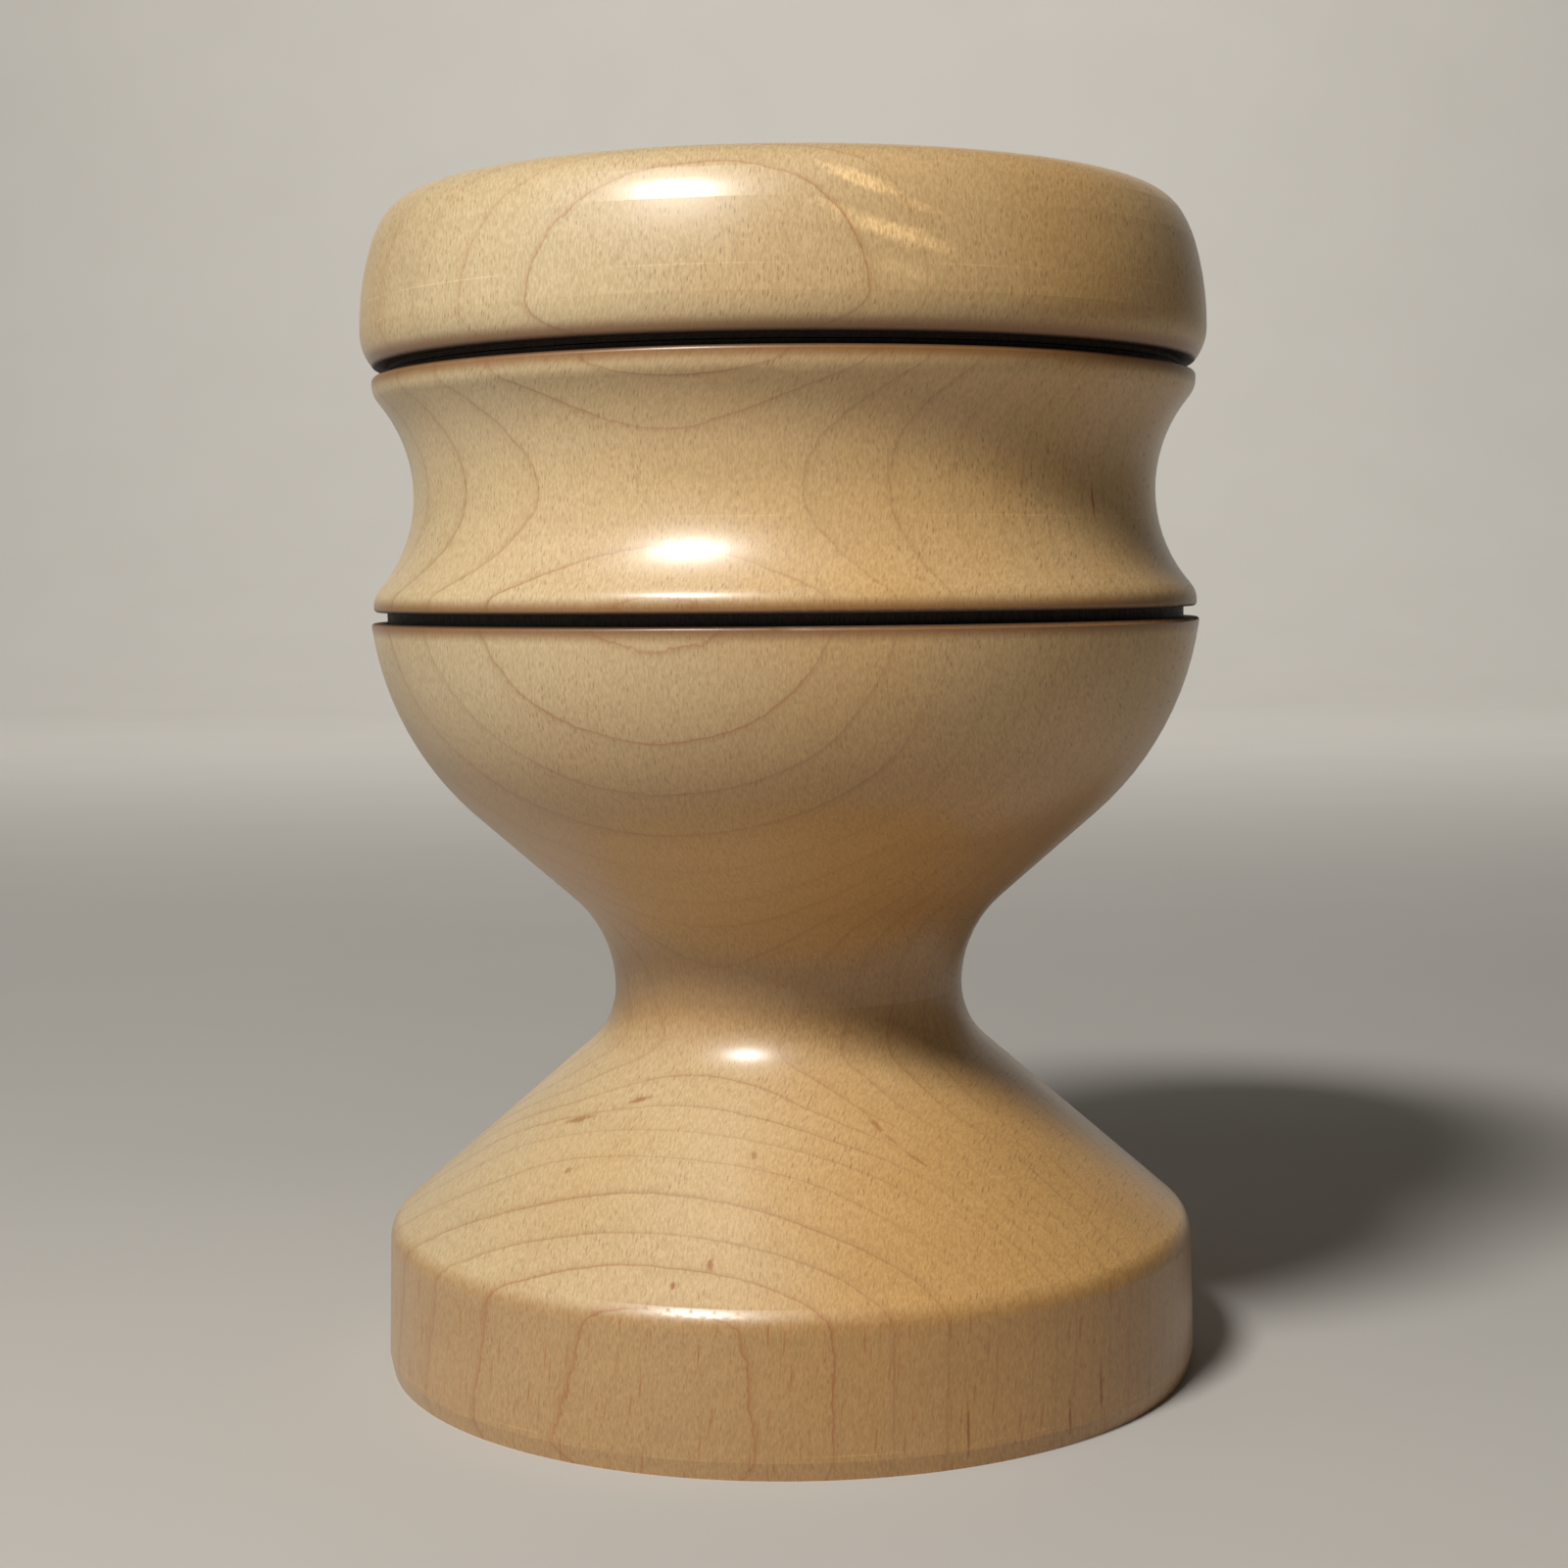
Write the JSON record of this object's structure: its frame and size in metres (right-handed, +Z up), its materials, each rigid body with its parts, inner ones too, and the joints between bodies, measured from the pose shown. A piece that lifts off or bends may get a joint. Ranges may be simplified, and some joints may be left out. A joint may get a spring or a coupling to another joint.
{
  "type": "turned wooden shaker",
  "caption": "Hand shaker turned from maple: a hollow head with a hollow-sided band and a push-fit cap, on a waisted pedestal foot, with loose steel shot inside.",
  "frame": {"origin": "centre of the foot's underside, on the table plane", "axes": "+Z up the turning axis, from the foot to the cap; +X and +Y are equivalent, apart from the wood's grain and where the shot lies"},
  "size_m": [0.0742, 0.0742, 0.1028],
  "materials": {
    "maple": "friction-polished turned maple, glossy, with burned lines in the grooves",
    "seal_rubber": "satin black rubber",
    "cork": "natural composition cork, matte",
    "shot_steel": "bright ball-bearing steel"
  },
  "bodies": {
    "hollow_body": {"pedestal": "maple", "cove_ring": "maple", "foot_pad": "cork"},
    "cap": {"cap": "maple", "cap_seal_upper": "seal_rubber", "cap_seal_lower": "seal_rubber"},
    "shot_centre": {"shot_01": "shot_steel"},
    "shot_ring_1": {"shot_02": "shot_steel", "shot_03": "shot_steel", "shot_04": "shot_steel", "shot_05": "shot_steel", "shot_06": "shot_steel"},
    "shot_ring_2": {"shot_07": "shot_steel", "shot_08": "shot_steel", "shot_09": "shot_steel", "shot_10": "shot_steel", "shot_11": "shot_steel", "shot_12": "shot_steel", "shot_13": "shot_steel", "shot_14": "shot_steel", "shot_15": "shot_steel", "shot_16": "shot_steel"},
    "shot_ring_3": {"shot_17": "shot_steel", "shot_18": "shot_steel", "shot_19": "shot_steel", "shot_20": "shot_steel", "shot_21": "shot_steel", "shot_22": "shot_steel", "shot_23": "shot_steel", "shot_24": "shot_steel", "shot_25": "shot_steel", "shot_26": "shot_steel", "shot_27": "shot_steel", "shot_28": "shot_steel", "shot_29": "shot_steel", "shot_30": "shot_steel", "shot_31": "shot_steel"}
  },
  "joints": [
    {"name": "cap_lift", "type": "slide", "parent": "hollow_body", "child": "cap", "axis": [0, 0, 1], "range_m": [0, 0.035]},
    {"name": "shot_toss", "type": "slide", "parent": "hollow_body", "child": "shot_centre", "axis": [0, 0, 1], "range_m": [0, 0.043]},
    {"name": "swirl_ring_1", "type": "hinge", "parent": "shot_centre", "child": "shot_ring_1", "pos_m": [0, 0, 0.0475], "axis": [0, 0, 1], "continuous": true},
    {"name": "swirl_ring_2", "type": "hinge", "parent": "shot_centre", "child": "shot_ring_2", "pos_m": [0, 0, 0.0475], "axis": [0, 0, 1], "continuous": true},
    {"name": "swirl_ring_3", "type": "hinge", "parent": "shot_centre", "child": "shot_ring_3", "pos_m": [0, 0, 0.0475], "axis": [0, 0, 1], "continuous": true}
  ]
}
